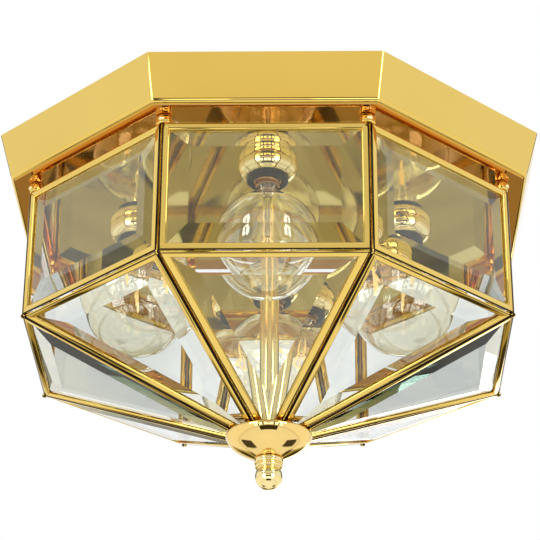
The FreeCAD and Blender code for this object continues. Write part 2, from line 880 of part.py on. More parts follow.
def build_shade():
    waist = (waist_apothem, -waist_drop)
    half_gap = corner_gap / 2
    upper_strips, upper_glass = panel_set(
        waist, (top_apothem, -cage_drop), [half_gap, half_gap, 0, half_gap], [0, 1, 2, 3], 1
    )
    lower_strips, lower_glass = panel_set(
        (apex_apothem, -apex_drop), waist, [0, half_gap, half_gap, half_gap], [1, 2, 3], -1
    )
    post = corner_post()
    for side in range(side_count):
        save("upper_glass_" + position_names[side], turned_to_side(upper_glass, side))
        save("lower_glass_" + position_names[side], turned_to_side(lower_glass, side))
    save("came_tops", around(upper_strips[2]))
    save("came_uprights", around(upper_strips[1]) + around(upper_strips[3]))
    save("came_waist_upper", around(upper_strips[0]))
    save("came_waist_lower", around(lower_strips[2]))
    save("came_ribs", around(lower_strips[1]) + around(lower_strips[3]))
    save("corner_posts", around(post))
    waist_neighbours = list(upper_strips.values()) + list(lower_strips.values())
    waist_neighbours += [turned_to_side(solid, 1) for solid in waist_neighbours]
    waist_bead = solder_bead(
        waist_radius - waist_bead_sink, waist_drop, waist_bead_radius, waist_neighbours
    )
    post_bead = solder_bead(
        cage_top_radius - post_bead_sink, post_drop + post_bead_below, post_bead_radius, [post]
    )
    save("solder_beads", around(waist_bead) + around(post_bead))
    save("shade_washer", shade_washer())
    save("finial_cup", finial_cup())


top_apothem = apothem(cage_top_radius)
waist_apothem = apothem(waist_radius)
socket_circle_radius = waist_apothem - bulb_radius - bulb_side_clearance
os.makedirs("parts", exist_ok=True)
build_root()
build_bulbs()
build_shade()
save("finial", finial())
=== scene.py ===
import bpy
import math
from mathutils import Matrix, Vector


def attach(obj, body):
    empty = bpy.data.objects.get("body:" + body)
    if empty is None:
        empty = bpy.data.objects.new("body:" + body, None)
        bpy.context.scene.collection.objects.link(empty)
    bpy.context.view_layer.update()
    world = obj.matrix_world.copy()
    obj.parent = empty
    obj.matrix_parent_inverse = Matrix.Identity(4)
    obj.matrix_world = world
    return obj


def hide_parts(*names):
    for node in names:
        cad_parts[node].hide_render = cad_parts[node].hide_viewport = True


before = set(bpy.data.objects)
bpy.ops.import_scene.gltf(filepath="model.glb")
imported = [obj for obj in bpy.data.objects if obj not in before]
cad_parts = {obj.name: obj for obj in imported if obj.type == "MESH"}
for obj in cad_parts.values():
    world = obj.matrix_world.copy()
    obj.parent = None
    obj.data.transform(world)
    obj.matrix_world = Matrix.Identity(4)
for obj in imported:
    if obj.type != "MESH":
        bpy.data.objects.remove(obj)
print("Frame loaded:", len(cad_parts), "nodes")


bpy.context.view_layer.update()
bpy.context.scene.view_settings.view_transform = "Standard"

# Clear panes, globes and polished plate stand behind each other, so light needs many turns
lightTurns = {"max_bounces": 32, "transmission_bounces": 28, "glossy_bounces": 12}
for setting, turns in lightTurns.items():
    setattr(bpy.context.scene.cycles, setting, turns)


# Camera: below the lamp, looking up along +Y
view = {
    "target": (0, 0, -0.0492),
    "distance": 1.178,
    "elevation": 26.126,
    "yaw": -1.2075,
    "roll": 0.351,
    "lens": 152.65,
    "sensor": 36,
}


def setCamera():
    rise = math.radians(view["elevation"])
    turn = math.radians(view["yaw"])
    level = view["distance"] * math.cos(rise)
    below = view["distance"] * math.sin(rise)
    target = Vector(view["target"])
    place = target + Vector((-level * math.sin(turn), -level * math.cos(turn), -below))
    bpy.ops.object.camera_add(location=place)
    camera = bpy.context.object
    camera.name = "photoCamera"
    camera.rotation_mode = "QUATERNION"
    aim = (target - place).to_track_quat("-Z", "Y").to_matrix()
    roll = Matrix.Rotation(math.radians(view["roll"]), 3, "Z")
    camera.rotation_quaternion = (aim @ roll).to_quaternion()
    camera.data.lens = view["lens"]
    camera.data.sensor_width = view["sensor"]
    bpy.context.scene.camera = camera


# Light: soft boxes, and a surround that polished metal and glass mirror in zones
studio = {
    "floorSize": 17,
    "floorDrop": 1.6,
    "floorPaint": (0.85, 0.85, 0.84, 1),
    "floorRoughness": 0.9,
    "skyLevel": 0.8,
    # Name, place, size and power
    "boxes": [
        ("leftBox", (-0.85, -1.05, -0.28), (0.55, 0.6), 4.2),
        ("rightBox", (0.80, -1.10, -0.25), (0.50, 0.6), 4.2),
        ("backBox", (0.3, 1.5, -0.2), (0.9, 0.35), 2.5),
    ],
    "lampHeight": -0.1,
    # Heights in degrees above the lamp's level, and the tone there
    "ladder": [
        (-90, (1.10, 1.08, 1.02, 1)),
        (-45, (1.05, 1.03, 0.97, 1)),
        (-30, (0.80, 0.77, 0.68, 1)),
        (-6, (0.90, 0.80, 0.55, 1)),
        (0, (0.97, 0.90, 0.72, 1)),
        (3.2, (0.97, 0.90, 0.72, 1)),
        (4.0, (1.0, 1.0, 1.0, 1)),
        (90, (1.0, 1.0, 1.0, 1)),
    ],
    # Zones: turn from the front in degrees, either way, height in degrees, edge, tone
    "zones": [
        ((150, 181), (-42, -8), 5, (0.44, 0.36, 0.14, 1)),
        ((150, 176.5), (-39, -31.5), 1, (0.05, 0.045, 0.02, 1)),
        ((177, 181), (-42, -33), 1, (1.0, 0.97, 0.90, 1)),
        ((42, 152), (-34, -2), 4, (1.10, 1.06, 0.95, 1)),
        ((122, 143), (-60, -42), 3, (0.08, 0.07, 0.05, 1)),
        ((156, 170), (-24, -12), 2, (0.06, 0.05, 0.03, 1)),
        ((-1, 40), (-34, -18), 2, (2.8, 2.75, 2.6, 1)),
        ((-1, 28), (-52, -36), 2, (0.05, 0.04, 0.02, 1)),
        ((13, 18), (-35, -18), 1, (0.10, 0.08, 0.06, 1)),
        ((27, 31), (-35, -18), 1, (0.10, 0.08, 0.06, 1)),
        ((-1, 5), (-30, -23), 1, (0.06, 0.05, 0.04, 1)),
        ((-1, 34), (-17, -6), 2, (0.05, 0.04, 0.02, 1)),
        ((-1, 30), (6, 12), 1.5, (0.25, 0.22, 0.16, 1)),
        ((-1, 30), (12, 50), 3, (0.84, 0.82, 0.76, 1)),
        ((30, 56), (12, 50), 4, (0.14, 0.12, 0.09, 1)),
        ((37, 49), (20, 42), 1.5, (7.0, 6.9, 6.6, 1)),
        ((124, 152), (12, 50), 4, (0.07, 0.10, 0.08, 1)),
    ],
}


def nodeTree(owner):
    owner.use_nodes = True
    tree = owner.node_tree
    tree.nodes.clear()
    return tree


def addNode(tree, kind, **inputs):
    # An underscore in an input's name stands for a space
    node = tree.nodes.new(kind)
    for name, value in inputs.items():
        node.inputs[name.replace("_", " ")].default_value = value
    return node


def feed(tree, socket, value):
    # A socket takes a link or a plain value
    if isinstance(value, bpy.types.NodeSocket):
        tree.links.new(value, socket)
    else:
        socket.default_value = value


def mathNode(tree, operation, *values):
    node = tree.nodes.new("ShaderNodeMath")
    node.operation = operation
    for socket, value in zip(node.inputs, values):
        feed(tree, socket, value)
    return node.outputs[0]


def mixTones(tree, share, low, high):
    node = tree.nodes.new("ShaderNodeMix")
    node.data_type = "RGBA"
    for name, value in (("Factor", share), ("A", low), ("B", high)):
        socket = next(socket for socket in node.inputs if socket.name == name and socket.enabled)
        feed(tree, socket, value)
    return next(socket for socket in node.outputs if socket.enabled)


def ramped(tree, value, start, end):
    # Goes smoothly from 0 at start to 1 at end
    node = tree.nodes.new("ShaderNodeMapRange")
    node.interpolation_type = "SMOOTHSTEP"
    tree.links.new(value, node.inputs["Value"])
    node.inputs["From Min"].default_value = start
    node.inputs["From Max"].default_value = end
    return node.outputs["Result"]


def within(tree, value, span, edge):
    # 1 inside the span and 0 outside it, with a soft edge
    rise = ramped(tree, value, span[0] - edge / 2, span[0] + edge / 2)
    fall = ramped(tree, value, span[1] + edge / 2, span[1] - edge / 2)
    return mathNode(tree, "MULTIPLY", rise, fall)


def surroundTone(tree, direction):
    # What polished metal and glass mirror, by the direction from the lamp
    parts = tree.nodes.new("ShaderNodeSeparateXYZ")
    tree.links.new(direction, parts.inputs[0])
    x, y, z = parts.outputs
    turn = mathNode(tree, "ARCTAN2", x, mathNode(tree, "MULTIPLY", y, -1.0))
    turn = mathNode(tree, "ABSOLUTE", mathNode(tree, "DEGREES", turn))
    height = mathNode(tree, "DEGREES", mathNode(tree, "ARCSINE", z))
    start, tone = studio["ladder"][0]
    for end, nextTone in studio["ladder"][1:]:
        tone = mixTones(tree, ramped(tree, height, start, end), tone, nextTone)
        start = end
    for turnSpan, heightSpan, edge, zoneTone in studio["zones"]:
        inTurn = within(tree, turn, turnSpan, edge)
        inZone = mathNode(tree, "MULTIPLY", inTurn, within(tree, height, heightSpan, edge))
        tone = mixTones(tree, inZone, tone, zoneTone)
    return tone


def mirroredOnly(tree, plain, mirrored):
    # Mirrors and glass see one shader, and everything else the plain one
    path = tree.nodes.new("ShaderNodeLightPath")
    shown = mathNode(tree, "MAXIMUM", path.outputs["Is Glossy Ray"], path.outputs["Is Transmission Ray"])
    both = tree.nodes.new("ShaderNodeMixShader")
    tree.links.new(shown, both.inputs["Fac"])
    tree.links.new(plain, both.inputs[1])
    tree.links.new(mirrored, both.inputs[2])
    return both.outputs[0]


def setWorld():
    world = bpy.data.worlds.new("studioWorld")
    bpy.context.scene.world = world
    tree = nodeTree(world)
    direction = tree.nodes.new("ShaderNodeTexCoord")
    surround = tree.nodes.new("ShaderNodeBackground")
    tree.links.new(surroundTone(tree, direction.outputs["Generated"]), surround.inputs["Color"])
    sky = addNode(tree, "ShaderNodeBackground", Color=(1, 1, 1, 1), Strength=studio["skyLevel"])
    white = addNode(tree, "ShaderNodeBackground", Color=(1, 1, 1, 1), Strength=1)
    path = tree.nodes.new("ShaderNodeLightPath")
    seen = tree.nodes.new("ShaderNodeMixShader")
    tree.links.new(path.outputs["Is Camera Ray"], seen.inputs["Fac"])
    tree.links.new(mirroredOnly(tree, sky.outputs[0], surround.outputs[0]), seen.inputs[1])
    tree.links.new(white.outputs[0], seen.inputs[2])
    output = tree.nodes.new("ShaderNodeOutputWorld")
    tree.links.new(seen.outputs[0], output.inputs["Surface"])


def addFloor():
    bpy.ops.mesh.primitive_plane_add(size=studio["floorSize"], location=(0, 0, -studio["floorDrop"]))
    floor = bpy.context.object
    floor.name = "studioFloor"
    material = bpy.data.materials.new("studioFloor")
    tree = nodeTree(material)
    coords = tree.nodes.new("ShaderNodeTexCoord")
    below = tree.nodes.new("ShaderNodeVectorMath")
    below.inputs[1].default_value = (0, 0, -studio["floorDrop"] - studio["lampHeight"])
    tree.links.new(coords.outputs["Object"], below.inputs[0])
    direction = tree.nodes.new("ShaderNodeVectorMath")
    direction.operation = "NORMALIZE"
    tree.links.new(below.outputs[0], direction.inputs[0])
    paint = addNode(tree, "ShaderNodeBsdfPrincipled", Base_Color=studio["floorPaint"])
    paint.inputs["Roughness"].default_value = studio["floorRoughness"]
    mirrored = addNode(tree, "ShaderNodeEmission", Strength=1.0)
    tree.links.new(surroundTone(tree, direction.outputs[0]), mirrored.inputs["Color"])
    output = tree.nodes.new("ShaderNodeOutputMaterial")
    tree.links.new(mirroredOnly(tree, paint.outputs[0], mirrored.outputs[0]), output.inputs["Surface"])
    floor.data.materials.append(material)


def aimAtLamp(item, place):
    item.rotation_mode = "QUATERNION"
    item.rotation_quaternion = (Vector(view["target"]) - Vector(place)).to_track_quat("-Z", "Y")


def addSoftBoxes():
    for name, place, size, power in studio["boxes"]:
        bpy.ops.object.light_add(type="AREA", location=place)
        lamp = bpy.context.object
        lamp.name = name
        lamp.data.shape = "RECTANGLE"
        lamp.data.size, lamp.data.size_y = size
        lamp.data.energy = power
        aimAtLamp(lamp, place)


setCamera()
setWorld()
addFloor()
addSoftBoxes()
print("Camera, floor and lights set")


# Materials: gloss is a look's middle roughness, and sheet the depth of the dents in its metal
metalLooks = {
    "polished_brass": {
        "light": (0.82, 0.60, 0.165), "deep": (0.77, 0.55, 0.14), "gloss": 0.03, "sheet": 0.00011,
    },
    "paleBrass": {
        "light": (0.93, 0.79, 0.42), "deep": (0.88, 0.72, 0.34), "gloss": 0.02, "sheet": 0.00004,
    },
    "cupBrass": {
        "light": (0.90, 0.70, 0.30), "deep": (0.84, 0.60, 0.21), "gloss": 0.02, "sheet": 0.00004,
    },
    "stemBrass": {
        "light": (1.0, 0.86, 0.44), "deep": (0.96, 0.79, 0.36), "gloss": 0.22, "sheet": 0.00003,
    },
    "reflector_brass": {
        "light": (0.82, 0.60, 0.10), "deep": (0.66, 0.46, 0.06), "gloss": 0.06, "sheet": 0.0002,
    },
    "plateBrass": {
        "light": (0.84, 0.70, 0.27), "deep": (0.70, 0.55, 0.17), "gloss": 0.05, "sheet": 0.0002,
        # The margin tone is painted shade for the slot between the pan's lip and the lantern
        "margin": (0.66, 0.34, 0.11),
    },
    "came_brass": {
        "light": (0.84, 0.62, 0.18), "deep": (0.79, 0.55, 0.13), "gloss": 0.04, "sheet": 0.00006,
        # The seam tone is painted shade for the dark valleys where strips of came meet
        "seam": (0.02, 0.012, 0.006),
    },
    "copper": {
        "light": (1.0, 0.68, 0.34), "deep": (0.94, 0.56, 0.24), "gloss": 0.4, "sheet": 0.00003,
    },
    "zinc_steel": {
        "light": (0.62, 0.63, 0.62), "deep": (0.50, 0.51, 0.52), "gloss": 0.35, "sheet": 0.00003,
    },
    "filament_wire": {
        "light": (1.0, 0.88, 0.58), "deep": (0.95, 0.76, 0.42), "gloss": 0.4, "sheet": 0.00001,
        # The filament wires glow faintly: a painted highlight for their glints
        "glow": (1.0, 0.66, 0.26), "glowStrength": 0.8,
    },
}
paintLooks = {
    "black_phenolic": {"light": (0.045, 0.045, 0.047), "deep": (0.02, 0.02, 0.021), "gloss": 0.3},
    "green_screw": {"light": (0.03, 0.25, 0.09), "deep": (0.015, 0.15, 0.05), "gloss": 0.3},
    "black_insulation": {"light": (0.03, 0.03, 0.03), "deep": (0.015, 0.015, 0.015), "gloss": 0.45},
    "white_insulation": {"light": (0.72, 0.71, 0.68), "deep": (0.62, 0.60, 0.56), "gloss": 0.45},
    "connector_plastic": {"light": (0.75, 0.28, 0.05), "deep": (0.6, 0.2, 0.03), "gloss": 0.4},
    "groundEdge": {
        "light": (0.14, 0.36, 0.28), "deep": (0.006, 0.03, 0.024), "gloss": 0.4, "patches": 420,
    },
}
glassLooks = {
    "bevelled_glass": {
        "clear": (1.0, 1.0, 1.0), "tint": (0.17, 0.39, 0.33), "density": 36.0, "shine": 0.35, "coat": 0.0,
        "wave": 0.00002, "waveScale": 14,
    },
    "bulb_glass": {
        "clear": (0.98, 0.965, 0.89), "tint": (0.90, 0.93, 0.90), "density": 5.0, "shine": 1.0, "coat": 1.0,
        "wave": 0.0003, "waveScale": 60,
    },
}
glassIndex = 1.5
waveDetail = 1.0
# Scale and detail of the noise in metal
metalNoise = {"patches": (16, 3.0), "smudges": (70, 4.0), "sheet": (11, 1.0)}
# Paint goes from its deep to its light tone where its noise goes from start to end
paintNoise = {"scale": 128, "detail": 4.0, "start": 0.4, "end": 0.62}
# The two shares of a look's gloss that its roughness varies between
glossSpread = {"metal": (0.6, 1.5), "paint": (0.7, 1.4)}
# Painted shade: two dark lines in the rounding where strips of came meet, at the corners and round the
# waist, stand in for the dark that these valleys mirror
paintedSeamShade = {
    "corner": (0.0004, 0.0013),
    "above": (-0.0973, -0.0967),
    "below": (-0.0987, -0.0984),
    "edge": 0.0002,
}
# Painted shade: outside the lantern the plate's underside has a deeper tone, darkening the slot between the
# pan's lip and the lantern
plateShadeMargin = {"start": 0.1104, "end": 0.1116, "upper": -0.0243, "under": -0.0247}
# Half of the turn that one side of the octagon takes
halfSide = math.pi / 8


def opaque(colour):
    return (colour[0], colour[1], colour[2], 1)


def noiseAt(tree, coords, scale, detail):
    noise = addNode(tree, "ShaderNodeTexNoise", Scale=scale, Detail=detail)
    tree.links.new(coords.outputs["Object"], noise.inputs["Vector"])
    return noise.outputs["Fac"]


def octagonPlace(tree, coords):
    # Distances from the nearest corner's plane and along the nearest side's normal, and the height
    parts = tree.nodes.new("ShaderNodeSeparateXYZ")
    tree.links.new(coords.outputs["Object"], parts.inputs[0])
    x, y, z = parts.outputs
    turn = mathNode(tree, "SUBTRACT", mathNode(tree, "ARCTAN2", y, x), halfSide)
    turn = mathNode(tree, "PINGPONG", turn, halfSide)
    square = mathNode(tree, "ADD", mathNode(tree, "MULTIPLY", x, x), mathNode(tree, "MULTIPLY", y, y))
    out = mathNode(tree, "SQRT", square)
    fromMiddle = mathNode(tree, "SUBTRACT", halfSide, turn)
    along = mathNode(tree, "MULTIPLY", out, mathNode(tree, "COSINE", fromMiddle))
    return {"corner": mathNode(tree, "MULTIPLY", out, turn), "side": along, "height": z}


def seamShadeShare(tree, coords):
    # 1 in the painted seam shade and 0 away from it
    place = octagonPlace(tree, coords)
    corner = within(tree, place["corner"], paintedSeamShade["corner"], paintedSeamShade["edge"])
    above = within(tree, place["height"], paintedSeamShade["above"], paintedSeamShade["edge"])
    below = within(tree, place["height"], paintedSeamShade["below"], paintedSeamShade["edge"])
    return mathNode(tree, "MAXIMUM", corner, mathNode(tree, "MAXIMUM", above, below))


def marginShadeShare(tree, coords):
    # 1 on the painted shade at the margin of the plate's underside and 0 away from it
    place = octagonPlace(tree, coords)
    outside = ramped(tree, place["side"], plateShadeMargin["start"], plateShadeMargin["end"])
    low = ramped(tree, place["height"], plateShadeMargin["upper"], plateShadeMargin["under"])
    return mathNode(tree, "MULTIPLY", outside, low)


def variedGloss(tree, noise, gloss, spread):
    # Roughness that follows the noise between two shares of the gloss
    node = tree.nodes.new("ShaderNodeMapRange")
    node.inputs["To Min"].default_value = gloss * spread[0]
    node.inputs["To Max"].default_value = gloss * spread[1]
    tree.links.new(noise, node.inputs["Value"])
    return node.outputs["Result"]


def unevenNormal(tree, noise, distance):
    bend = addNode(tree, "ShaderNodeBump", Strength=1.0, Distance=distance)
    tree.links.new(noise, bend.inputs["Height"])
    return bend.outputs["Normal"]


def showSurface(tree, shader):
    output = tree.nodes.new("ShaderNodeOutputMaterial")
    tree.links.new(shader.outputs[0], output.inputs["Surface"])
    return output


def makeMetal(name, look):
    material = bpy.data.materials.new(name)
    tree = nodeTree(material)
    coords = tree.nodes.new("ShaderNodeTexCoord")
    patches = noiseAt(tree, coords, *metalNoise["patches"])
    colour = mixTones(tree, patches, opaque(look["deep"]), opaque(look["light"]))
    # Painted shade: the valleys where strips of came meet are darkened
    if "seam" in look:
        colour = mixTones(tree, seamShadeShare(tree, coords), colour, opaque(look["seam"]))
    # Painted shade: the plate's underside outside the lantern is darkened
    if "margin" in look:
        colour = mixTones(tree, marginShadeShare(tree, coords), colour, opaque(look["margin"]))
    metal = addNode(tree, "ShaderNodeBsdfPrincipled", Metallic=1.0)
    tree.links.new(colour, metal.inputs["Base Color"])
    # Painted highlight: a faint glow on the filament wires shows their glints
    if "glow" in look:
        metal.inputs["Emission Color"].default_value = opaque(look["glow"])
        metal.inputs["Emission Strength"].default_value = look["glowStrength"]
    smudges = noiseAt(tree, coords, *metalNoise["smudges"])
    gloss = variedGloss(tree, smudges, look["gloss"], glossSpread["metal"])
    tree.links.new(gloss, metal.inputs["Roughness"])
    sheet = noiseAt(tree, coords, *metalNoise["sheet"])
    tree.links.new(unevenNormal(tree, sheet, look["sheet"]), metal.inputs["Normal"])
    showSurface(tree, metal)
    return material


def makePaint(name, look):
    material = bpy.data.materials.new(name)
    tree = nodeTree(material)
    coords = tree.nodes.new("ShaderNodeTexCoord")
    patches = noiseAt(tree, coords, look.get("patches", paintNoise["scale"]), paintNoise["detail"])
    share = ramped(tree, patches, paintNoise["start"], paintNoise["end"])
    coat = tree.nodes.new("ShaderNodeBsdfPrincipled")
    colour = mixTones(tree, share, opaque(look["deep"]), opaque(look["light"]))
    tree.links.new(colour, coat.inputs["Base Color"])
    gloss = variedGloss(tree, patches, look["gloss"], glossSpread["paint"])
    tree.links.new(gloss, coat.inputs["Roughness"])
    showSurface(tree, coat)
    return material


def makeGlass(name, look):
    material = bpy.data.materials.new(name)
    tree = nodeTree(material)
    coords = tree.nodes.new("ShaderNodeTexCoord")
    pane = addNode(
        tree, "ShaderNodeBsdfPrincipled", IOR=glassIndex, Roughness=0.0, Transmission_Weight=1.0,
        Base_Color=opaque(look["clear"]), Specular_IOR_Level=look["shine"], Coat_Weight=look["coat"],
    )
    wave = noiseAt(tree, coords, look["waveScale"], waveDetail)
    tree.links.new(unevenNormal(tree, wave, look["wave"]), pane.inputs["Normal"])
    depth = addNode(tree, "ShaderNodeVolumeAbsorption", Color=opaque(look["tint"]), Density=look["density"])
    output = showSurface(tree, pane)
    tree.links.new(depth.outputs[0], output.inputs["Volume"])
    return material


finishes = {}
for slotName, look in metalLooks.items():
    finishes[slotName] = makeMetal(slotName, look)
for slotName, look in paintLooks.items():
    finishes[slotName] = makePaint(slotName, look)
for slotName, look in glassLooks.items():
    finishes[slotName] = makeGlass(slotName, look)

# The finish of each node, by the start of its name
nodeFinishes = {
    "canopy_band": "polished_brass", "stem_tube": "stemBrass", "finial_cup": "cupBrass",
    "finial": "paleBrass", "socket_husk": "paleBrass", "corner_posts": "polished_brass",
    "socket_plate": "plateBrass", "shade_washer": "reflector_brass",
    "came": "came_brass", "solder_beads": "came_brass",
    "upper_glass": "bevelled_glass", "lower_glass": "bevelled_glass",
    "bulb_glass": "bulb_glass", "bulb_cap": "copper", "bulb_mount": "filament_wire",
    "socket_shells": "copper", "socket_contacts": "copper", "socket_body": "black_phenolic",
    "crossbar": "zinc_steel", "nipple": "zinc_steel", "locknuts": "zinc_steel", "finial_stud": "zinc_steel",
    "ground_screw": "green_screw", "black_leads": "black_insulation", "white_leads": "white_insulation",
    "wire_connectors": "connector_plastic",
}


def finishFor(nodeName):
    matches = [start for start in nodeFinishes if nodeName.startswith(start)]
    return finishes[nodeFinishes[max(matches, key=len)]]


def dressNodes():
    for nodeName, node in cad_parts.items():
        node.data.materials.clear()
        node.data.materials.append(finishFor(nodeName))


dressNodes()
print("Materials ready:", len(finishes))


# Making and dressing pieces. Distances are in metres and angles in degrees.
mergeDistance = 0.000001
flatAngle = 0.5
softAngle = 40


def clearSelection():
    if bpy.context.mode != "OBJECT":
        bpy.ops.object.mode_set(mode="OBJECT")
    bpy.ops.object.select_all(action="DESELECT")


def pick(piece):
    clearSelection()
    piece.select_set(True)
    bpy.context.view_layer.objects.active = piece


def edit(piece, kind="VERT"):
    pick(piece)
    bpy.ops.object.mode_set(mode="EDIT")
    bpy.ops.mesh.select_mode(type=kind)
    bpy.ops.mesh.select_all(action="SELECT")


def closeEnds(piece):
    # Fills the small rings that a profile leaves open at the axis
    edit(piece)
    bpy.ops.mesh.fill_holes(sides=0)
    bpy.ops.mesh.normals_make_consistent(inside=False)
    bpy.ops.object.mode_set(mode="OBJECT")


def finishMesh(piece, smoothAngle):
    # Ends a piece's modelling: its place goes into the mesh
    pick(piece)
    bpy.ops.object.transform_apply(location=True, rotation=True, scale=True)
    bpy.ops.object.shade_smooth_by_angle(angle=math.radians(smoothAngle))


def softenEdges(piece, width, segments):
    pick(piece)
    soften = piece.modifiers.new("softEdges", "BEVEL")
    soften.width = width
    soften.segments = segments
    soften.limit_method = "ANGLE"
    soften.angle_limit = math.radians(softAngle)
    soften.harden_normals = False
    bpy.ops.object.modifier_apply(modifier=soften.name)


def joinPieces(pieces, name):
    pick(pieces[0])
    for other in pieces[1:]:
        other.select_set(True)
    bpy.ops.object.join()
    pieces[0].name = name
    return pieces[0]


def mergedCopy(nodeName, ending):
    # A CAD node's own mesh stays as it is, so a copy of it is merged into whole faces
    words = nodeName.split("_")
    name = words[0] + "".join(word.capitalize() for word in words[1:]) + ending
    piece = bpy.data.objects.new(name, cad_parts[nodeName].data.copy())
    bpy.context.scene.collection.objects.link(piece)
    edit(piece)
    bpy.ops.mesh.remove_doubles(threshold=mergeDistance)
    bpy.ops.mesh.dissolve_limited(angle_limit=math.radians(flatAngle))
    bpy.ops.mesh.customdata_custom_splitnormals_clear()
    bpy.ops.object.mode_set(mode="OBJECT")
    return piece


def fitPiece(piece, body, slotName, *nodeNames):
    piece.data.materials.clear()
    piece.data.materials.append(finishFor(nodeNames[0]) if nodeNames else finishes[slotName])
    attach(piece, body)
    if nodeNames:
        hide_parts(*nodeNames)


def easeNode(nodeName, ending, body, slotName, width, segments=2):
    # The CAD piece with soft edges
    piece = mergedCopy(nodeName, ending)
    softenEdges(piece, width, segments)
    finishMesh(piece, softAngle)
    fitPiece(piece, body, slotName, nodeName)


def arcSteps(centre, radius, first, last, count):
    # Steps along an arc in the profile, by angles measured from straight out, up being positive
    steps = []
    for index in range(count + 1):
        angle = math.radians(first + (last - first) * index / count)
        steps.append((centre[0] + radius * math.cos(angle), centre[1] + radius * math.sin(angle)))
    return steps


def profileSteps(profile):
    # A profile holds steps, each a radius and a height, and arcs as arcSteps takes them
    steps = []
    for entry in profile:
        steps += [entry] if len(entry) == 2 else arcSteps(*entry)
    return steps


def turnOnLathe(name, profile, sides, place=(0, 0), firstAngle=0):
    # Draws a ring out along the profile. Radius 0 closes the end.
    clearSelection()
    steps = profileSteps(profile)
    radius, height = steps[0]
    bpy.ops.mesh.primitive_circle_add(
        vertices=sides, radius=radius, location=(place[0], place[1], height), rotation=(0, 0, firstAngle)
    )
    piece = bpy.context.object
    piece.name = name
    edit(piece)
    for nextRadius, nextHeight in steps[1:]:
        bpy.ops.mesh.extrude_region_move(TRANSFORM_OT_translate={"value": (0, 0, nextHeight - height)})
        if nextRadius == 0:
            bpy.ops.mesh.merge(type="CENTER")
            break
        share = nextRadius / radius
        bpy.ops.transform.resize(value=(share, share, 1), center_override=(place[0], place[1], nextHeight))
        radius, height = nextRadius, nextHeight
    bpy.ops.mesh.select_all(action="SELECT")
    bpy.ops.mesh.remove_doubles(threshold=mergeDistance)
    bpy.ops.mesh.normals_make_consistent(inside=False)
    bpy.ops.object.mode_set(mode="OBJECT")
    return piece


def addWire(name, points, radius, sides=3):
    # A bent wire: a path through chosen points, given its thickness and made a mesh
    clearSelection()
    bpy.ops.curve.primitive_nurbs_path_add()
    wire = bpy.context.object
    wire.name = name
    path = wire.data.splines[0]
    path.points.add(max(0, len(points) - len(path.points)))
    for index, knot in enumerate(path.points):
        x, y, z = points[min(index, len(points) - 1)]
        knot.co = (x, y, z, 1)
    path.order_u = 3
    path.use_endpoint_u = True
    path.resolution_u = 8
    wire.data.bevel_depth = radius
    wire.data.bevel_resolution = sides
    wire.data.use_fill_caps = True
    bpy.ops.object.convert(target="MESH")
    return bpy.context.object


# Canopy band: sheet brass bent round eight corners, with a hem and a rolled lip
band = {
    # Out along the hem, down the outside, round the lip and up the inside
    "profile": [
        (0.1393, -0.0001), (0.1452, -0.0001), (0.1458, -0.0007),
        ((0.1374, -0.0218), 0.0022, -10, -90, 5),
        ((0.1336, -0.0230), 0.0010, -90, -180, 3),
        (0.1326, -0.0210), (0.1336, -0.0210), (0.1336, -0.0230), (0.1382, -0.0228), (0.1446, -0.0010),
        (0.1393, -0.0010), (0.1393, -0.0001),
    ],
    "sameTurn": 0.01,
    "cornerRound": 0.0008,
    "cornerSegments": 3,
}


def makeBand():
    piece = turnOnLathe("canopyBandFolded", band["profile"], sides=8, firstAngle=halfSide)
    edit(piece, "EDGE")
    bpy.ops.mesh.select_all(action="DESELECT")
    bpy.ops.object.mode_set(mode="OBJECT")
    for edge in piece.data.edges:
        first, second = (piece.data.vertices[index].co for index in edge.vertices)
        apart = math.atan2(first.y, first.x) - math.atan2(second.y, second.x)
        edge.select = abs(apart) < band["sameTurn"]
    bpy.ops.object.mode_set(mode="EDIT")
    bpy.ops.mesh.bevel(offset=band["cornerRound"], segments=band["cornerSegments"], clamp_overlap=True)
    bpy.ops.object.mode_set(mode="OBJECT")
    finishMesh(piece, smoothAngle=25)
    fitPiece(piece, "pan", "polished_brass", "canopy_band")


# Turned brass under the lantern: the cup and the finial
cup = {
    # Up the inside, over the rim and down the outside of the bowl to the neck
    "profile": [
        (0.0034, -0.1516), (0.0070, -0.1516), (0.0108, -0.1500), (0.0160, -0.1471), (0.0192, -0.1440),
        (0.0207, -0.1418), (0.0207, -0.1411), (0.0210, -0.1408), (0.0214, -0.1409), (0.0217, -0.1414),
        (0.0217, -0.1421), (0.0212, -0.1431), (0.0202, -0.1449), (0.0188, -0.1467), (0.0170, -0.1481),
        (0.0144, -0.1497), (0.0118, -0.1510), (0.0094, -0.1521), (0.0078, -0.1528), (0.0070, -0.1532),
        (0.0034, -0.1532), (0.0034, -0.1516),
    ],
    "smoothing": 2,
}


def makeCup():
    piece = turnOnLathe("finialCupTurned", cup["profile"], sides=96)
    smooth = piece.modifiers.new("smoothTurning", "SUBSURF")
    smooth.levels = cup["smoothing"]
    pick(piece)
    bpy.ops.object.modifier_apply(modifier=smooth.name)
    finishMesh(piece, smoothAngle=60)
    fitPiece(piece, "shade", "polished_brass", "finial_cup")


finial = {
    # Up the bore from its closed end, over the ring, the groove and the bead, and round the ball
    "profile": [
        (0.0004, -0.1655), (0.0031, -0.1655), (0.0031, -0.1534), (0.0065, -0.1534),
        ((0.0065, -0.1541), 0.0007, 70, 0, 3),
        ((0.0065, -0.1554), 0.0007, 0, -80, 3),
        (0.0062, -0.15615), (0.0062, -0.15655),
        ((0.0061, -0.1575), 0.0009, 80, -80, 6),
        (0.0059, -0.1584),
        ((0, -0.16265), 0.00685, 32.1438, -88, 16),
        (0, -0.1695),
    ],
}


def makeFinial():
    piece = turnOnLathe("finialTurned", finial["profile"], sides=64)
    closeEnds(piece)
    finishMesh(piece, smoothAngle=40)
    fitPiece(piece, "finial", "polished_brass", "finial")


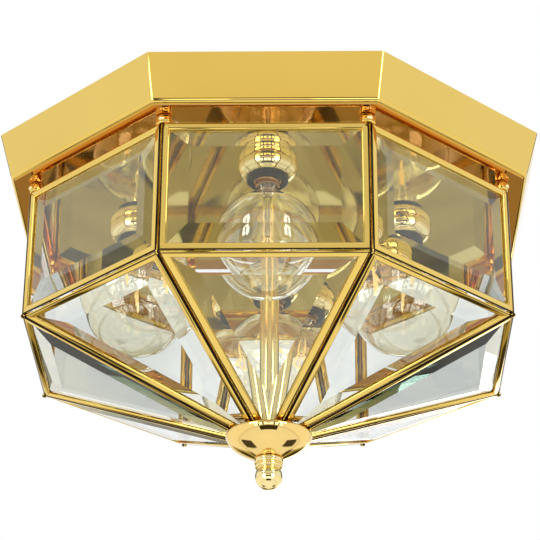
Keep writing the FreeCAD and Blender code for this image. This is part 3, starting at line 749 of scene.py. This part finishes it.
# Sockets: brass husks over black moulded bodies, made at the front and copied round
socketPlace = (0, -0.0675)
quarterTurns = {"front": 0, "right": 90, "back": 180, "left": 270}


def copyRound(piece, degrees):
    pick(piece)
    bpy.ops.object.duplicate()
    bpy.ops.transform.rotate(value=-math.radians(degrees), orient_axis="Z", center_override=(0, 0, 0))
    bpy.ops.object.transform_apply(location=True, rotation=True, scale=True)
    return bpy.context.object


def placeRound(piece, baseName, body, slotName, nodeStart):
    # Copies a front piece to the other three sockets and dresses all four
    for spot, degrees in quarterTurns.items():
        copy = piece if degrees == 0 else copyRound(piece, degrees)
        copy.name = baseName + spot.capitalize()
        nodeNames = [nodeStart + "_" + spot] if nodeStart else []
        fitPiece(copy, body.replace("*", spot), slotName, *nodeNames)


husk = {
    # Down the outside to the collar, and back up the inside
    "profile": [
        (0.0135, -0.0250), (0.0142, -0.0250),
        ((0.0087, -0.0270), 0.0058, 12, -84, 16),
        (0.0088, -0.0328), (0.0088, -0.0321),
        ((0.0087, -0.0270), 0.0051, -84, 0, 8),
        (0.0135, -0.0250),
    ],
}


def makeHusks():
    piece = turnOnLathe("socketHuskFront", husk["profile"], sides=96, place=socketPlace)
    finishMesh(piece, smoothAngle=40)
    placeRound(piece, "socketHusk", "pan", "polished_brass", "socket_husk")


socketBody = {
    # Over the closed top, down the outside, over the rings at the mouth and up the bore
    "profile": [
        (0.0005, -0.0130), (0.0097, -0.0130), (0.0103, -0.0136), (0.0103, -0.0346),
        ((0.0094, -0.0346), 0.0009, -15, -90, 4),
        (0.0086, -0.0355), (0.0083, -0.0351), (0.0075, -0.0351), (0.0072, -0.0354), (0.0067, -0.0353),
        (0.0065, -0.0349), (0.0065, -0.0180), (0.0005, -0.0180),
    ],
}


def makeSocketBodies():
    piece = turnOnLathe("socketBodyFront", socketBody["profile"], sides=64, place=socketPlace)
    closeEnds(piece)
    finishMesh(piece, smoothAngle=35)
    placeRound(piece, "socketBody", "pan", "black_phenolic", "socket_body")


# Bulbs: blown globe, screw cap with its thread, and the mount with its filament
globe = {
    "radius": 0.0262,
    "centre": -0.0687,
    "neck": 0.0053,
    "neckTop": -0.034,
    "flare": 0.008,
    "flareCount": 8,
    # The globe's arc starts this many degrees past the flare's end, and its last angle is short of the foot
    "gap": 5,
    "last": -87,
    "count": 30,
    "wall": 0.0006,
}


def makeBulbGlass():
    radius = globe["radius"]
    centre = globe["centre"]
    flareOut = globe["neck"] + globe["flare"]
    reach = radius + globe["flare"]
    flareHeight = centre + math.sqrt(reach ** 2 - flareOut ** 2)
    tilt = math.degrees(math.asin(flareOut / reach))
    profile = [
        (globe["neck"], globe["neckTop"]),
        ((flareOut, flareHeight), globe["flare"], 180, 270 - tilt, globe["flareCount"]),
        ((0, centre), radius, 90 - tilt - globe["gap"], globe["last"], globe["count"]),
        (0, centre - radius),
    ]
    piece = turnOnLathe("bulbGlobeFront", profile, sides=72, place=socketPlace)
    pick(piece)
    wall = piece.modifiers.new("glassWall", "SOLIDIFY")
    wall.thickness = globe["wall"]
    wall.offset = -1
    bpy.ops.object.modifier_apply(modifier=wall.name)
    finishMesh(piece, smoothAngle=180)
    placeRound(piece, "bulbGlobe", "bulb_*", "bulb_glass", "bulb_glass")


def fromSocket(out, behind, height):
    # A point by its distances from the front socket's axis
    return (socketPlace[0] + out, socketPlace[1] + behind, height)


cap = {
    # Over the contact and the shoulder, down the shell to its hem, and up the inside
    "profile": [
        (0.0003, -0.0190), (0.0019, -0.0190), (0.0024, -0.0194), (0.0024, -0.0198), (0.0046, -0.0216),
        (0.0053, -0.0219), (0.0056, -0.0224), (0.0056, -0.0367), (0.00585, -0.0370), (0.00585, -0.0376),
        (0.0053, -0.0376), (0.0053, -0.0223), (0.0003, -0.0223),
    ],
    "threadRadius": 0.00535,
    "threadTop": -0.0232,
    "threadPitch": 0.0025,
    "threadTurns": 5,
    "threadWire": 0.0006,
    "turnSteps": 16,
}


def makeBulbCaps():
    piece = turnOnLathe("bulbCapFront", cap["profile"], sides=64, place=socketPlace)
    closeEnds(piece)
    points = []
    for index in range(cap["threadTurns"] * cap["turnSteps"] + 1):
        turns = index / cap["turnSteps"]
        out = cap["threadRadius"] * math.cos(2 * math.pi * turns)
        behind = cap["threadRadius"] * math.sin(2 * math.pi * turns)
        points.append(fromSocket(out, behind, cap["threadTop"] - cap["threadPitch"] * turns))
    thread = addWire("bulbThread", points, cap["threadWire"])
    joinPieces([piece, thread], "bulbCapFront")
    finishMesh(piece, smoothAngle=40)
    placeRound(piece, "bulbCap", "bulb_*", "copper", "bulb_cap")


mount = {
    # Down the glass stem from its foot over its waist to the press
    "stem": [
        (0.0004, -0.0340), (0.0045, -0.0340), (0.0045, -0.0345), (0.0036, -0.0380), (0.0026, -0.0420),
        (0.0018, -0.0460), (0.0018, -0.0500), (0.0024, -0.0535), (0.0024, -0.0560), (0.00192, -0.0577),
        (0.00108, -0.0585), (0.0001, -0.0585),
    ],
    # Wires by their distance to the side of the axis and their height
    "leadIn": [
        (0.0013, -0.0500), (0.0013, -0.0605), (0.0030, -0.0630), (0.0085, -0.0658), (0.0091, -0.0668),
        (0.0086, -0.0676),
    ],
    "sideProp": [(0.0006, -0.0575), (0.0022, -0.0600), (0.0043, -0.0620), (0.0047, -0.0627)],
    "middleProp": [(0, -0.0575), (0, -0.0630), (0.0002, -0.0672), (0.0008, -0.0680)],
    "filament": [(-0.0085, -0.0668), (-0.0045, -0.0627), (0, -0.0676), (0.0045, -0.0627), (0.0085, -0.0668)],
    "sideBehind": 0.0002,
    "middleBehind": -0.0003,
    "leadWire": 0.00042,
    "propWire": 0.000294,
    "filamentWire": 0.00036,
    "coil": 0.0004,
    "coilSteps": 90,
}


def coilPoints():
    # Winds round the filament's legs from corner to corner, four points to a turn
    legs = len(mount["filament"]) - 1
    points = []
    for index in range(mount["coilSteps"] + 1):
        along = index / mount["coilSteps"] * legs
        leg = min(int(along), legs - 1)
        share = along - leg
        start, end = mount["filament"][leg:leg + 2]
        out = start[0] * (1 - share) + end[0] * share
        height = start[1] * (1 - share) + end[1] * share
        angle = index * math.pi / 2
        behind = mount["coil"] * math.sin(angle)
        points.append(fromSocket(out, behind, height + mount["coil"] * math.cos(angle)))
    return points


def makeBulbMounts():
    stem = turnOnLathe("bulbStemFront", mount["stem"], sides=40, place=socketPlace)
    closeEnds(stem)
    finishMesh(stem, smoothAngle=60)
    wires = []
    for way in (-1, 1):
        lead = [fromSocket(way * out, 0, height) for out, height in mount["leadIn"]]
        wires.append(addWire("leadIn", lead, mount["leadWire"]))
        prop = [fromSocket(way * out, mount["sideBehind"], height) for out, height in mount["sideProp"]]
        wires.append(addWire("prop", prop, mount["propWire"]))
    middle = [fromSocket(out, mount["middleBehind"], height) for out, height in mount["middleProp"]]
    wires.append(addWire("prop", middle, mount["propWire"]))
    wires.append(addWire("filamentCoil", coilPoints(), mount["filamentWire"], sides=2))
    piece = joinPieces(wires, "bulbMountFront")
    finishMesh(piece, smoothAngle=60)
    placeRound(piece, "bulbMount", "bulb_*", "filament_wire", "bulb_mount")
    placeRound(stem, "bulbStem", "bulb_*", "bulb_glass", None)


# Brass came: every strip keeps its CAD section, with its edges drawn soft
came = {
    "nodes": ["came_tops", "came_uprights", "came_waist_upper", "came_waist_lower", "came_ribs"],
    "edge": 0.00028,
    "post": 0.0006,
    "postSegments": 3,
}


def makeCames():
    for nodeName in came["nodes"]:
        easeNode(nodeName, "Drawn", "shade", "came_brass", came["edge"])
    easeNode("corner_posts", "Rounded", "shade", "polished_brass", came["post"], came["postSegments"])


# Glass panels: the CAD panels, with their ground edges in the green that thick glass shows
panel = {
    "starts": ("upper_glass", "lower_glass"),
    # Edge faces turn this much or more away from the pane, as a cosine
    "edgeTurn": 0.5,
}


def makePanels():
    for nodeName in [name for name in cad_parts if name.startswith(panel["starts"])]:
        piece = mergedCopy(nodeName, "Panel")
        faces = piece.data.polygons
        outward = max(faces, key=lambda face: face.area).normal.copy()
        edges = [face.index for face in faces if abs(face.normal.dot(outward)) < panel["edgeTurn"]]
        finishMesh(piece, smoothAngle=5)
        fitPiece(piece, "shade", "bevelled_glass", nodeName)
        piece.data.materials.append(finishes["groundEdge"])
        for index in edges:
            piece.data.polygons[index].material_index = 1


# Solder run over the corners: distance from the axis, height and radius of the beads
solder = {
    "waist": (0.1288, -0.0981, 0.0014),
    "post": (0.1283, -0.0272, 0.0017),
    "finishes": {"waist": "came_brass", "post": "paleBrass"},
    "squash": (0.95, 1.05, 0.9),
    "unevenness": 0.00018,
    "firstSeed": 11,
    "smoothing": 0.5,
}


def addBead(kind, side):
    out, height, radius = solder[kind]
    angle = -math.pi / 2 + halfSide + side * 2 * halfSide
    clearSelection()
    bpy.ops.mesh.primitive_ico_sphere_add(
        subdivisions=3, radius=radius, location=(out * math.cos(angle), out * math.sin(angle), height),
        rotation=(0, 0, angle), scale=solder["squash"],
    )
    bead = bpy.context.object
    edit(bead)
    bpy.ops.transform.vertex_random(offset=solder["unevenness"], seed=side + solder["firstSeed"])
    bpy.ops.mesh.vertices_smooth(factor=solder["smoothing"], repeat=2)
    bpy.ops.object.mode_set(mode="OBJECT")
    bead.data.materials.append(finishes[solder["finishes"][kind]])
    return bead


def makeSolder():
    beads = [addBead(kind, side) for kind in ("waist", "post") for side in range(8)]
    for bead in beads:
        finishMesh(bead, smoothAngle=180)
    solderRun = joinPieces(beads, "solderRun")
    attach(solderRun, "shade")
    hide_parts("solder_beads")


# Pieces inside the pan, with the width of their eased edges
insideParts = {
    "crossbar": ("zinc_steel", 0.0003),
    "locknuts": ("zinc_steel", 0.0004),
    "wire_connectors": ("connector_plastic", 0.0008),
}


def makeInsideParts():
    for nodeName, (slotName, width) in insideParts.items():
        easeNode(nodeName, "Eased", "pan", slotName, width)


makeBand()
makeCup()
makeFinial()
print("Turned and folded brass made")
makeHusks()
makeSocketBodies()
makeBulbGlass()
makeBulbCaps()
makeBulbMounts()
print("Sockets and bulbs made")
makeCames()
makePanels()
makeSolder()
makeInsideParts()
print("Came, panels, solder and inside parts made")
